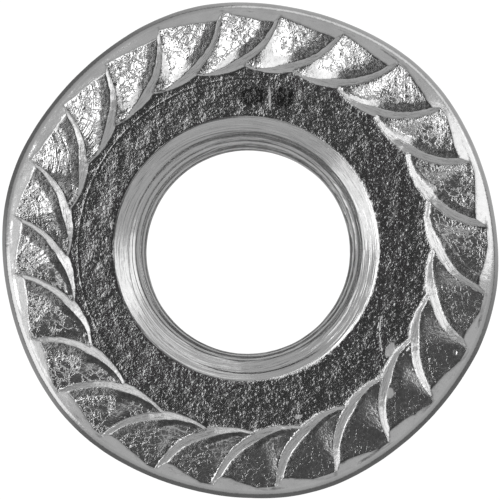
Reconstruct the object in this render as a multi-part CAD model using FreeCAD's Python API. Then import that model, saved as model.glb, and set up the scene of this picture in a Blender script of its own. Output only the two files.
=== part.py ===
import FreeCAD, Part
import math
import os

# Serrated hex flange nut, 3/8 in - 16 size, cold forged in one piece.
# It stands on the end of its hexagon, with the serrated bearing face up.
# The origin is on the axis of the hexagon and the flange, in the plane of the hexagon's end.
# Lengths are in millimetres and angles in degrees.

# Whole nut
nut_height = 8.6

# Hexagon
hex_across_flats = 14.15
hex_corner_radius = 0.35
hex_chamfer_inset = 0.375
hex_chamfer_angle = 30.0

# Flange: the forging swells a little at the six corners of the hexagon
flange_diameter = 18.9
flange_lobe_rise = 0.06
first_lobe_angle = 45.0
rim_thickness = 1.4
rim_face_radius = 0.46
rim_back_radius = 0.45
flange_back_angle = 25.0

# Land: the smooth cone between the rim and the bearing plane
land_width = 0.74
land_angle = 22.0

# Teeth: each one rises clockwise, seen on the bearing face, and ends in a steep curved flank
tooth_count = 24
first_tip_angle = 5.4
tooth_ring_inset = 0.41
tooth_depth_outer = 0.15
tooth_depth_inner = 0.22
ramp_outer_turn = 11.4
ramp_inner_turn = 10.7
flank_radius = 3.22
flank_centre_outset = 0.55
flank_slope = 41.0

# Recess between the teeth and the bore
recess_depth = 0.28
recess_step_gap = 0.24
recess_step_depth = 0.02

# Threaded bore, at its minor diameter: it lies a little off the axis of the flange
bore_diameter = 7.93
bore_offset_x = -0.16
bore_offset_y = 0.05
countersink_width = 0.62
countersink_angle = 120.0
lead_width = 0.445
lead_angle = 30.0

# How far cutting solids reach past the metal that they cut, and a ramp's sheet past its corners
overcut = 1.0
sheet_past_foot = 0.25
sheet_past_crest = 0.8
sheet_past_rim_side = 0.4
sheet_past_bore_side = 0.35

# Worked out from the sizes above
hex_sides = 6
half_turn = 180.0 / hex_sides
hex_corner_reach = hex_across_flats / 2.0 / math.cos(math.radians(half_turn))
flange_radius = flange_diameter / 2.0
land_drop = math.tan(math.radians(land_angle))
rim_top = nut_height - land_width * land_drop
rim_bottom = rim_top - rim_thickness
rim_band = flange_radius - hex_across_flats / 2.0 + overcut
band_bottom = rim_bottom - rim_band * math.tan(math.radians(flange_back_angle))
tooth_pitch = 360.0 / tooth_count
tooth_ring_radius = flange_radius - tooth_ring_inset
flank_centre_radius = flange_radius + flank_centre_outset
flank_run = 1.0 / math.tan(math.radians(flank_slope))
face_floor = nut_height - recess_depth
bore_floor = face_floor - recess_step_depth
up = FreeCAD.Vector(0.0, 0.0, 1.0)


def polar(radius, angle, height):
    """Point at a radius and an angle about the nut's axis."""
    turn = math.radians(angle)
    return FreeCAD.Vector(radius * math.cos(turn), radius * math.sin(turn), height)


def rounded_wire(corners):
    """Closed wire in the XZ plane through (x, z, radius) corners, each rounded by its radius."""
    places = [FreeCAD.Vector(x, 0.0, z) for x, z, radius in corners]
    count = len(corners)
    ends = []
    edges = []
    for index in range(count):
        corner = places[index]
        radius = corners[index][2]
        before = (places[index - 1] - corner).normalize()
        after = (places[(index + 1) % count] - corner).normalize()
        half_corner = before.getAngle(after) / 2.0
        setback = radius / math.tan(half_corner)
        start = corner + before * setback
        end = corner + after * setback
        ends.append((start, end))
        if radius > 0.0:
            middle = corner + (before + after).normalize() * (radius / math.sin(half_corner) - radius)
            edges.append(Part.Arc(start, middle, end).toShape())
    for index in range(count):
        edges.append(Part.makeLine(ends[index - 1][1], ends[index][0]))
    return Part.Wire(Part.__sortEdges__(edges))


def revolved(profile):
    """Solid of revolution about the nut's axis, from (radius, height) corners."""
    wire = rounded_wire([(radius, height, 0.0) for radius, height in profile])
    return Part.Face(wire).revolve(FreeCAD.Vector(), up, 360.0)


def rim_piece(arc_radius, centre, first_angle, sweep):
    """Stretch of the flange's outer band that bends about its own centre."""
    inner = arc_radius - rim_band
    section = rounded_wire([
        (inner, band_bottom, 0.0),
        (arc_radius, rim_bottom, rim_back_radius),
        (arc_radius, rim_top, rim_face_radius),
        (arc_radius - land_width, nut_height, 0.0),
        (inner, nut_height, 0.0),
    ])
    piece = Part.Face(section).revolve(FreeCAD.Vector(), up, sweep)
    piece.rotate(FreeCAD.Vector(), up, first_angle)
    piece.translate(centre)
    return piece


def rim_arcs():
    """Lobe arc and side arc that touch, each as radius, offset of its centre, and half of its sweep."""
    lobe_reach = flange_radius + flange_lobe_rise
    side_reach = flange_radius - flange_lobe_rise
    lobe_radius = flange_radius / (1.0 + (hex_sides**2 - 1.0) * flange_lobe_rise / flange_radius)
    lobe_offset = lobe_reach - lobe_radius
    run = lobe_offset * math.cos(math.radians(half_turn))
    rise = lobe_offset * math.sin(math.radians(half_turn))
    inset = run - side_reach
    side_radius = (lobe_radius**2 - inset**2 - rise**2) / (2.0 * (inset + lobe_radius))
    side_offset = side_reach - side_radius
    lean = math.degrees(math.atan2(rise, run - side_offset))
    return (lobe_radius, lobe_offset, half_turn - lean), (side_radius, side_offset, lean)


def flange():
    """Disc whose rim is six lobes and six flatter sides, twelve arcs that run into each other."""
    pieces = []
    core_edges = []
    lobe_arc, side_arc = rim_arcs()
    for index in range(hex_sides):
        lobe_angle = first_lobe_angle + 2.0 * half_turn * index
        for arc, angle in ((lobe_arc, lobe_angle), (side_arc, lobe_angle + half_turn)):
            arc_radius, offset, half_sweep = arc
            centre = polar(offset, angle, 0.0)
            pieces.append(rim_piece(arc_radius, centre, angle - half_sweep, 2.0 * half_sweep))
            stops = [polar(arc_radius - rim_band, angle + turn, 0.0) for turn in (-half_sweep, 0.0, half_sweep)]
            core_edges.append(Part.Arc(*[centre + stop for stop in stops]).toShape())
    core = Part.Face(Part.Wire(core_edges)).extrude(up * (nut_height - band_bottom))
    core.translate(up * band_bottom)
    return core.multiFuse(pieces).removeSplitter()


def hexagon():
    """Hexagon with softened corners and a chamfered end."""
    angles = [first_lobe_angle + 2.0 * half_turn * index for index in range(hex_sides)]
    corners = [polar(hex_corner_reach, angle, 0.0) for angle in angles]
    bar = Part.Face(Part.makePolygon(corners + corners[:1])).extrude(up * rim_top)
    uprights = [edge for edge in bar.Edges if edge.BoundBox.ZLength > rim_top / 2.0]
    bar = bar.makeFillet(hex_corner_radius, uprights)
    end_radius = hex_across_flats / 2.0 - hex_chamfer_inset
    reach = hex_corner_reach + overcut
    profile = [
        (0.0, 0.0),
        (end_radius, 0.0),
        (reach, (reach - end_radius) * math.tan(math.radians(hex_chamfer_angle))),
        (reach, rim_top),
        (0.0, rim_top),
    ]
    return bar.common(revolved(profile))


def flank_centre_angle():
    """Angle from a tooth's tip to the centre of its curved flank."""
    sides = flank_centre_radius**2 + tooth_ring_radius**2 - flank_radius**2
    return math.degrees(math.acos(sides / (2.0 * flank_centre_radius * tooth_ring_radius)))


def cusp_radius():
    """Radius at which the feet of two neighbouring flanks meet, beside the recess."""
    half_pitch = math.radians(tooth_pitch / 2.0)
    reach = math.sqrt(flank_radius**2 - (flank_centre_radius * math.sin(half_pitch)) ** 2)
    return flank_centre_radius * math.cos(half_pitch) - reach


def ramp_point(along, across):
    """Point on one ramp: along runs from its foot to the bearing plane, across from the rim side inward."""
    cusp_angle = flank_centre_angle() + tooth_pitch / 2.0
    foot_outer = polar(tooth_ring_radius, tooth_pitch, nut_height - tooth_depth_outer)
    top_outer = polar(flange_radius - land_width, tooth_pitch - ramp_outer_turn, nut_height)
    foot_inner = polar(cusp_radius(), cusp_angle, nut_height - tooth_depth_inner)
    top_inner = polar(cusp_radius(), cusp_angle - ramp_inner_turn, nut_height)
    outer = foot_outer + (top_outer - foot_outer) * along
    inner = foot_inner + (top_inner - foot_inner) * along
    return outer + (inner - outer) * across


def tooth():
    """One tooth: a tapered disc, whose side is the curved flank, under a sloping ramp."""
    start = -sheet_past_foot
    end = 1.0 + sheet_past_crest
    rim_side = -sheet_past_rim_side
    bore_side = 1.0 + sheet_past_bore_side
    near_rim = Part.makeLine(ramp_point(start, rim_side), ramp_point(end, rim_side))
    near_bore = Part.makeLine(ramp_point(start, bore_side), ramp_point(end, bore_side))
    under_ramp = Part.makeRuledSurface(near_rim, near_bore).extrude(up * -2.0 * recess_depth)
    foot_height = face_floor - recess_depth
    top_height = nut_height + recess_depth
    foot_radius = flank_radius + (face_floor - foot_height) * flank_run
    top_radius = flank_radius - (top_height - face_floor) * flank_run
    base = polar(flank_centre_radius, flank_centre_angle(), foot_height)
    taper = Part.makeCone(foot_radius, top_radius, top_height - foot_height, base, up)
    return taper.common(under_ramp)


def punch():
    """The negative of the teeth and of the recess inside them."""
    first = tooth()
    teeth = []
    for index in range(tooth_count):
        copy = first.copy()
        copy.rotate(FreeCAD.Vector(), up, first_tip_angle + tooth_pitch * index)
        teeth.append(copy)
    ring = teeth[0].multiFuse(teeth[1:])
    disc = Part.makeCylinder(tooth_ring_radius, recess_depth + overcut, up * face_floor, up)
    step_radius = flank_centre_radius - flank_radius - recess_step_gap
    step = Part.makeCylinder(step_radius, recess_depth, up * bore_floor, up)
    return disc.cut(ring).fuse(step).removeSplitter()


def bore():
    """Through hole at the thread's minor diameter, with a countersink and a tapered lead at each end."""
    hole_radius = bore_diameter / 2.0
    lead_radius = hole_radius + lead_width
    depth = countersink_width / math.tan(math.radians(countersink_angle / 2.0))
    lead_end = depth + lead_width / math.tan(math.radians(lead_angle / 2.0))
    wide_radius = lead_radius + countersink_width * (1.0 + overcut / depth)
    profile = [
        (0.0, -overcut),
        (wide_radius, -overcut),
        (lead_radius, depth),
        (hole_radius, lead_end),
        (hole_radius, bore_floor - lead_end),
        (lead_radius, bore_floor - depth),
        (wide_radius, bore_floor + overcut),
        (0.0, bore_floor + overcut),
    ]
    hole = revolved(profile)
    hole.translate(FreeCAD.Vector(bore_offset_x, bore_offset_y, 0.0))
    return hole


os.makedirs("parts", exist_ok=True)
nut = flange().fuse(hexagon()).cut(punch()).cut(bore())
nut.exportStep("parts/flange_nut.step")
print("solids", len(nut.Solids), "valid", nut.isValid(), "volume", round(nut.Volume, 2), "faces", len(nut.Faces))
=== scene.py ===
"""Looks of a 3/8 in - 16 serrated flange nut: cold forged, coined, tapped and zinc plated steel.

The nut stands on the end of its hexagon with the serrated bearing face up. One closed mesh stands for the solid nut,
with the coined teeth, the grained recess and the helical thread. Lengths in the classes are in millimetres and
angles in degrees, and the mesh is turned to metres when it is made.
"""

import logging
import math
from collections.abc import Sequence
from dataclasses import dataclass, field
from enum import Enum

import bmesh
import bpy
import numpy as np
from bpy.types import Material, Mesh, Node, NodeSocket, NodeTree, Object, World
from mathutils import Matrix, Vector
from mathutils.geometry import delaunay_2d_cdt
from mathutils.kdtree import KDTree


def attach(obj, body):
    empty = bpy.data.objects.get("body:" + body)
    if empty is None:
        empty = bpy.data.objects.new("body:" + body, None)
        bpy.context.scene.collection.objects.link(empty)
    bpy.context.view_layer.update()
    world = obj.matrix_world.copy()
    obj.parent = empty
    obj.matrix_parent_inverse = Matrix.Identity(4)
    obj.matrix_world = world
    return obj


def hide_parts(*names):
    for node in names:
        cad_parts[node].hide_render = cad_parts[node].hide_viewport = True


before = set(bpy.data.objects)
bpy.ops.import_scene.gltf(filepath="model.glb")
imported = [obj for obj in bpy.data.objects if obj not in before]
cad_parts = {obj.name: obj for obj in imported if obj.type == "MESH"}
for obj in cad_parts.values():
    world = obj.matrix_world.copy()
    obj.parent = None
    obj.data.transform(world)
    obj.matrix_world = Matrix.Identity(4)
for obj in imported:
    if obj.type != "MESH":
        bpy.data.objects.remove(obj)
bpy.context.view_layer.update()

Array = np.ndarray
MM = 0.001
TURN = 2.0 * math.pi
FAR_BELOW = -10.0
LOW_BITS = 0x7FFFFFFF
log = logging.getLogger("flange_nut")


class Zone(Enum):
    """Parts of the surface that were made in different ways, each with its own finish."""

    FORGED = 0
    COINED = 1
    CREST = 2
    RECESS = 3
    TAPPED = 4
    FLANK = 5


def smooth_max(one: Array, other: Array, blend: float) -> Array:
    """Larger of two heights, with the crease rounded where they differ by less than about blend."""
    return (one + other + np.sqrt((one - other) ** 2 + blend**2)) / 2.0


def smooth_min(one: Array, other: Array, blend: float) -> Array:
    """Smaller of two heights, with the crease rounded where they differ by less than about blend."""
    return (one + other - np.sqrt((one - other) ** 2 + blend**2)) / 2.0


def smooth_step(low: float, high: float, value: Array) -> Array:
    """Share from 0 at low to 1 at high, with soft ends. Low may be the larger of the two."""
    share = np.clip((value - low) / (high - low), 0.0, 1.0)
    return share * share * (3.0 - 2.0 * share)


def ripple(across: Array, along: Array, seed: int) -> Array:
    """Smooth random field with one cell to each unit of its two inputs.

    Args:
        across: First coordinate, in cells.
        along: Second coordinate, in cells.
        seed: Number that tells one field from another.

    Returns:
        Values from -1 to 1.
    """
    cell_x, cell_y = np.floor(across).astype(np.int64), np.floor(along).astype(np.int64)
    part_x, part_y = across - cell_x, along - cell_y
    part_x, part_y = part_x**2 * (3.0 - 2.0 * part_x), part_y**2 * (3.0 - 2.0 * part_y)

    def corner(step_x: int, step_y: int) -> Array:
        """Random value at one corner of each cell, from a hash of its place with large odd factors.

        Args:
            step_x: 0 for the cell's low side in the first coordinate, 1 for its high side.
            step_y: The same in the second coordinate.

        Returns:
            Values from -1 to 1.
        """
        mixed = (cell_x + step_x) * 374761393 + (cell_y + step_y) * 668265263 + seed * 974634777
        mixed = ((mixed & LOW_BITS) ^ ((mixed & LOW_BITS) >> 13)) * 1274126177
        mixed = (mixed & LOW_BITS) ^ ((mixed & LOW_BITS) >> 16)
        return (mixed & 0xFFFF) / 32767.5 - 1.0

    low = corner(0, 0) * (1.0 - part_x) + corner(1, 0) * part_x
    high = corner(0, 1) * (1.0 - part_x) + corner(1, 1) * part_x
    return low * (1.0 - part_y) + high * part_y


@dataclass(frozen=True)
class Wave:
    """Random relief with cells of one size. Start and shift are in cells: shift is how far each tooth moves it on."""

    height: float
    width: float
    length: float
    seed: int
    start: tuple[float, float] = (0.0, 0.0)
    shift: tuple[float, float] = (0.0, 0.0)

    def at(self, across: Array, along: Array | float, tooth: Array | float = 0.0) -> Array:
        """Height of the relief at each point.

        Args:
            across: First coordinate, in the units of the cells' width.
            along: Second coordinate, in the units of their length.
            tooth: Number of the tooth.

        Returns:
            Heights from -height to height.
        """
        cells_across = across / self.width + self.start[0] + tooth * self.shift[0]
        cells_along = along / self.length + self.start[1] + tooth * self.shift[1]
        return self.height * ripple(cells_across, cells_along, self.seed)


def relief(waves: Sequence[Wave], across: Array, along: Array | float, tooth: Array | float = 0.0) -> Array:
    """Sum of several waves at each point, with the same coordinates and tooth as Wave.at takes."""
    return sum(wave.at(across, along, tooth) for wave in waves)


def polar(radius: float | Array, angle: float | Array) -> Array:
    """Points at a radius and an angle in degrees, with the x and y of each along the last axis."""
    turn = np.radians(angle)
    return np.stack([radius * np.cos(turn), radius * np.sin(turn)], axis=-1)


def unit(rows: Array) -> Array:
    """Vectors of length 1 along the given ones, whose parts are along the last axis."""
    return rows / np.linalg.norm(rows, axis=-1, keepdims=True)


def even_angles(count: int) -> Array:
    """So many angles, evenly round from 0, in degrees."""
    return np.arange(count) * 360.0 / count


def direction(from_zenith: float, bearing: float) -> Vector:
    """Unit vector that leans from +Z by one angle toward the bearing, both in degrees."""
    away, turn = math.radians(from_zenith), math.radians(bearing)
    return Vector((math.sin(away) * math.cos(turn), math.sin(away) * math.sin(turn), math.cos(away)))


class Skin:
    """Mesh under way: its points, with their facing and values, and its triangles, with their zones."""

    def __init__(self) -> None:
        """Starts with no points and no triangles."""
        self.points: list[Array] = []
        self.triangles: list[Array] = []
        self.zones: list[Array] = []
        self.count = 0
        self.facing: list[tuple[Array, Array]] = []
        self.values: dict[str, list[tuple[Array, Array]]] = {
            "strokes": [], "stain": [], "arcs": [], "cracks": [], "crease_shade_and_dark_patches": [],
        }

    def add_points(self, x: Array, y: Array, z: Array) -> Array:
        """Adds points.

        Args:
            x: Their first coordinates.
            y: Their second coordinates.
            z: Their heights.

        Returns:
            The index of each new point.
        """
        self.points.append(np.stack([x, y, z], axis=-1))
        first, self.count = self.count, self.count + len(x)
        return np.arange(first, self.count)

    def add_triangles(self, corners: Array, zones: Array | Zone) -> None:
        """Adds triangles.

        Args:
            corners: Three point indices to each triangle.
            zones: The zone of them all, or a zone number for each.
        """
        if isinstance(zones, Zone):
            zones = np.full(len(corners), zones.value)
        self.triangles.append(corners)
        self.zones.append(zones)

    def join_loops(self, one: Array, other: Array, zone: Zone) -> None:
        """Joins two closed loops that have the same number of points.

        Args:
            one: Point indices of the first loop.
            other: Point indices of the second loop.
            zone: The zone of the band between them.
        """
        one_next, other_next = np.roll(one, -1), np.roll(other, -1)
        self.add_triangles(np.stack([one, one_next, other_next], axis=1), zone)
        self.add_triangles(np.stack([one, other_next, other], axis=1), zone)

    def zip_lines(
        self, one: Sequence[int], one_keys: Sequence[float], other: Sequence[int], other_keys: Sequence[float],
        zone: Zone,
    ) -> None:
        """Joins two lines of points whose numbers differ, like the two sides of a zip.

        Args:
            one: Point indices of the first line.
            one_keys: How far along each of its points lies, rising.
            other: Point indices of the second line.
            other_keys: How far along each of its points lies, rising.
            zone: The zone of the band between them.
        """
        first = second = 0
        corners = []
        while first < len(one) - 1 or second < len(other) - 1:
            first_moves = second == len(other) - 1 or (
                first < len(one) - 1 and one_keys[first + 1] <= other_keys[second + 1]
            )
            if first_moves:
                corners.append((one[first], other[second], one[first + 1]))
                first += 1
            else:
                corners.append((one[first], other[second], other[second + 1]))
                second += 1
        self.add_triangles(np.array(corners), zone)

    def new_mesh(self, name: str) -> Mesh:
        """Makes the bare mesh, in metres.

        Args:
            name: Name of the mesh.

        Returns:
            The mesh, whose faces may still be turned either way.
        """
        points, triangles = np.concatenate(self.points) * MM, np.concatenate(self.triangles)
        mesh = bpy.data.meshes.new(name)
        mesh.vertices.add(len(points))
        mesh.vertices.foreach_set("co", points.ravel())
        mesh.loops.add(triangles.size)
        mesh.loops.foreach_set("vertex_index", triangles.ravel())
        mesh.polygons.add(len(triangles))
        mesh.polygons.foreach_set("loop_start", np.arange(0, triangles.size, 3))
        mesh.update(calc_edges=True)
        mesh.validate()
        return mesh

    def add_values(self, mesh: Mesh) -> None:
        """Gives the mesh the facing that was worked out for its points, and their values for the materials.

        Args:
            mesh: The mesh.
        """
        count = len(mesh.vertices)
        normals = np.empty(3 * count, dtype=np.float32)
        mesh.vertex_normals.foreach_get("vector", normals)
        normals = normals.reshape(-1, 3)
        for index, facing in self.facing:
            normals[index] = facing
        mesh.normals_split_custom_set_from_vertices(normals)
        for label, parts in self.values.items():
            table = np.zeros((count, *parts[0][1].shape[1:]), dtype=np.float32)
            for index, values in parts:
                table[index] = values
            kind, slot = ("FLOAT", "value") if table.ndim == 1 else ("FLOAT_VECTOR", "vector")
            mesh.attributes.new(label, kind, "POINT").data.foreach_set(slot, table.ravel())

    def to_object(self, name: str, finishes: dict[Zone, Material]) -> Object:
        """Makes the mesh object, in metres, with its faces turned outward.

        Args:
            name: Name of the object.
            finishes: The material of each zone.

        Returns:
            The new object, in the scene.
        """
        mesh = self.new_mesh(name)
        for zone in Zone:
            mesh.materials.append(finishes[zone])
        mesh.polygons.foreach_set("material_index", np.concatenate(self.zones))
        mesh.polygons.foreach_set("use_smooth", np.ones(len(mesh.polygons), dtype=bool))
        shape = bmesh.new()
        shape.from_mesh(mesh)
        bmesh.ops.recalc_face_normals(shape, faces=shape.faces)
        open_edges = sum(1 for edge in shape.edges if not edge.is_manifold)
        shape.to_mesh(mesh)
        shape.free()
        mesh.update()
        self.add_values(mesh)
        thing = bpy.data.objects.new(name, mesh)
        bpy.context.scene.collection.objects.link(thing)
        log.info("%s: %d triangles, %d open edges", name, len(mesh.polygons), open_edges)
        return thing


@dataclass
class RimOutline:
    """Outline of the flange: six lobes and six flatter sides, twelve arcs that run into each other."""

    diameter: float = 18.9
    lobe_rise: float = 0.06
    first_lobe: float = 45.0
    lobes: int = 6

    def __post_init__(self) -> None:
        """Works out half the angle from one lobe to the next."""
        self.half_turn = 180.0 / self.lobes

    def from_lobe(self, angle: Array) -> Array:
        """Signed angle from the middle of the nearest lobe, in degrees."""
        return (angle - self.first_lobe + self.half_turn) % (2.0 * self.half_turn) - self.half_turn

    def from_side(self, angle: Array) -> Array:
        """Signed angle from the middle of the nearest side, which lies halfway between two lobes."""
        return (angle - self.first_lobe) % (2.0 * self.half_turn) - self.half_turn

    def arcs(self) -> tuple[float, float, float, float, float]:
        """Works out the two kinds of arc.

        Returns:
            Radius and offset of the lobe arc and of the side arc, and half the angle that a lobe arc turns.
        """
        radius = self.diameter / 2.0
        lobe_radius = radius / (1.0 + (self.lobes**2 - 1.0) * self.lobe_rise / radius)
        lobe_offset = radius + self.lobe_rise - lobe_radius
        run = lobe_offset * math.cos(math.radians(self.half_turn))
        rise = lobe_offset * math.sin(math.radians(self.half_turn))
        reach = radius - self.lobe_rise
        inset = run - reach
        side_radius = (lobe_radius**2 - inset**2 - rise**2) / (2.0 * (inset + lobe_radius))
        side_offset = reach - side_radius
        lean = math.degrees(math.atan2(rise, run - side_offset))
        return lobe_radius, lobe_offset, side_radius, side_offset, self.half_turn - lean

    def reach(self, angle: Array) -> Array:
        """Distance of the outline from the axis.

        Args:
            angle: Angles about the axis.

        Returns:
            The distance at each angle.
        """
        lobe_radius, lobe_offset, side_radius, side_offset, half_sweep = self.arcs()
        turn = math.radians(half_sweep)
        switch = math.degrees(
            math.atan2(lobe_radius * math.sin(turn), lobe_offset + lobe_radius * math.cos(turn))
        )
        from_lobe = self.from_lobe(angle)
        on_lobe = np.abs(from_lobe) < switch
        offset = np.where(on_lobe, lobe_offset, side_offset)
        arc = np.where(on_lobe, lobe_radius, side_radius)
        away = np.radians(np.where(on_lobe, from_lobe, self.from_side(angle)))
        return offset * np.cos(away) + np.sqrt(arc**2 - (offset * np.sin(away)) ** 2)

    def inset(self, x: Array, y: Array) -> Array:
        """How far each point lies inside the outline, toward the axis."""
        return self.reach(np.degrees(np.arctan2(y, x))) - np.hypot(x, y)


@dataclass(frozen=True)
class Land:
    """Smooth cone from the rim up to the plane of the crests. The face's mesh ends on it, at the edge's inset."""

    top: float = 8.6
    width: float = 0.74
    angle: float = 22.0
    edge_inset: float = 0.31


@dataclass(frozen=True)
class Scratch:
    """Narrow groove in the face, straight from one place to another.

    The spread of the groove, its burr and the lines for the mesh are given in widths of the scratch, and the length
    of its faded ends as a share of its own.
    """

    start: tuple[float, float]
    end: tuple[float, float]
    width: float
    depth: float
    fade: float = 0.15
    spread: float = 0.6
    burr_place: float = 1.3
    burr_share: float = 0.7
    line_places: tuple[float, ...] = (-1.2, -0.5, 0.0, 0.6, 1.3, 2.4)
    line_grain: float = 0.04

    def across(self, x: Array, y: Array) -> tuple[Array, Array]:
        """Distance of each point from the groove's line, and how far along it the point lies.

        Args:
            x: First coordinates.
            y: Second coordinates.

        Returns:
            Signed distances, and shares of the groove's length.
        """
        run = np.array(self.end) - np.array(self.start)
        length = float(np.hypot(run[0], run[1]))
        off_x, off_y = x - self.start[0], y - self.start[1]
        return (off_x * run[1] - off_y * run[0]) / length, (off_x * run[0] + off_y * run[1]) / length**2

    def depth_at(self, x: Array, y: Array) -> Array:
        """Depth of the groove at each point.

        Args:
            x: First coordinates.
            y: Second coordinates.

        Returns:
            The depths, with a raised burr along one side below zero.
        """
        off, along = self.across(x, y)
        fade = smooth_step(0.0, self.fade, along) * smooth_step(1.0, 1.0 - self.fade, along)
        spread = self.spread * self.width
        burr = np.exp(-(((off - self.burr_place * self.width) / spread) ** 2))
        return self.depth * fade * (np.exp(-((off / spread) ** 2)) - self.burr_share * burr)

    def lines(self) -> list[Array]:
        """Lines along the groove and its burr, for the mesh to follow.

        Returns:
            The lines, each as rows of x and y.
        """
        start, end = np.array(self.start), np.array(self.end)
        run = end - start
        side = np.array([run[1], -run[0]]) / np.hypot(run[0], run[1])
        count = max(3, int(np.hypot(run[0], run[1]) / self.line_grain))
        share = np.linspace(0.0, 1.0, count)[:, None]
        return [start + run * share + side * (step * self.width) for step in self.line_places]


@dataclass(frozen=True)
class Stain:
    """Dull or dark patch on the plate, an oval with a ragged edge."""

    x: float
    y: float
    half_length: float
    half_width: float
    bearing: float
    edge: float = 0.1
    ragged: Wave = Wave(0.08, 0.09, 0.09, 51)
    loop_points: int = 28
    loop_gap: float = 0.12

    def share(self, x: Array, y: Array) -> Array:
        """How much of the stain is at each point.

        Args:
            x: First coordinates.
            y: Second coordinates.

        Returns:
            Shares from 0 to 1.
        """
        turn = math.radians(self.bearing)
        along = (x - self.x) * math.cos(turn) + (y - self.y) * math.sin(turn)
        across = (y - self.y) * math.cos(turn) - (x - self.x) * math.sin(turn)
        reach = np.hypot(along / self.half_length, across / self.half_width)
        return smooth_step(1.0 + self.edge, 1.0 - self.edge, reach + self.ragged.at(x, y))

    def loops(self) -> list[Array]:
        """Ovals just inside and just outside the stain's edge, for the mesh to follow.

        Returns:
            The ovals, each as rows of x and y.
        """
        turn = math.radians(self.bearing)
        axes = np.array([[math.cos(turn), math.sin(turn)], [-math.sin(turn), math.cos(turn)]])
        ray = polar(1.0, even_angles(self.loop_points)) * np.array([self.half_length, self.half_width])
        sizes = (1.0 - self.loop_gap, 1.0 + self.loop_gap)
        return [np.array([self.x, self.y]) + (ray * size) @ axes for size in sizes]


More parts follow.
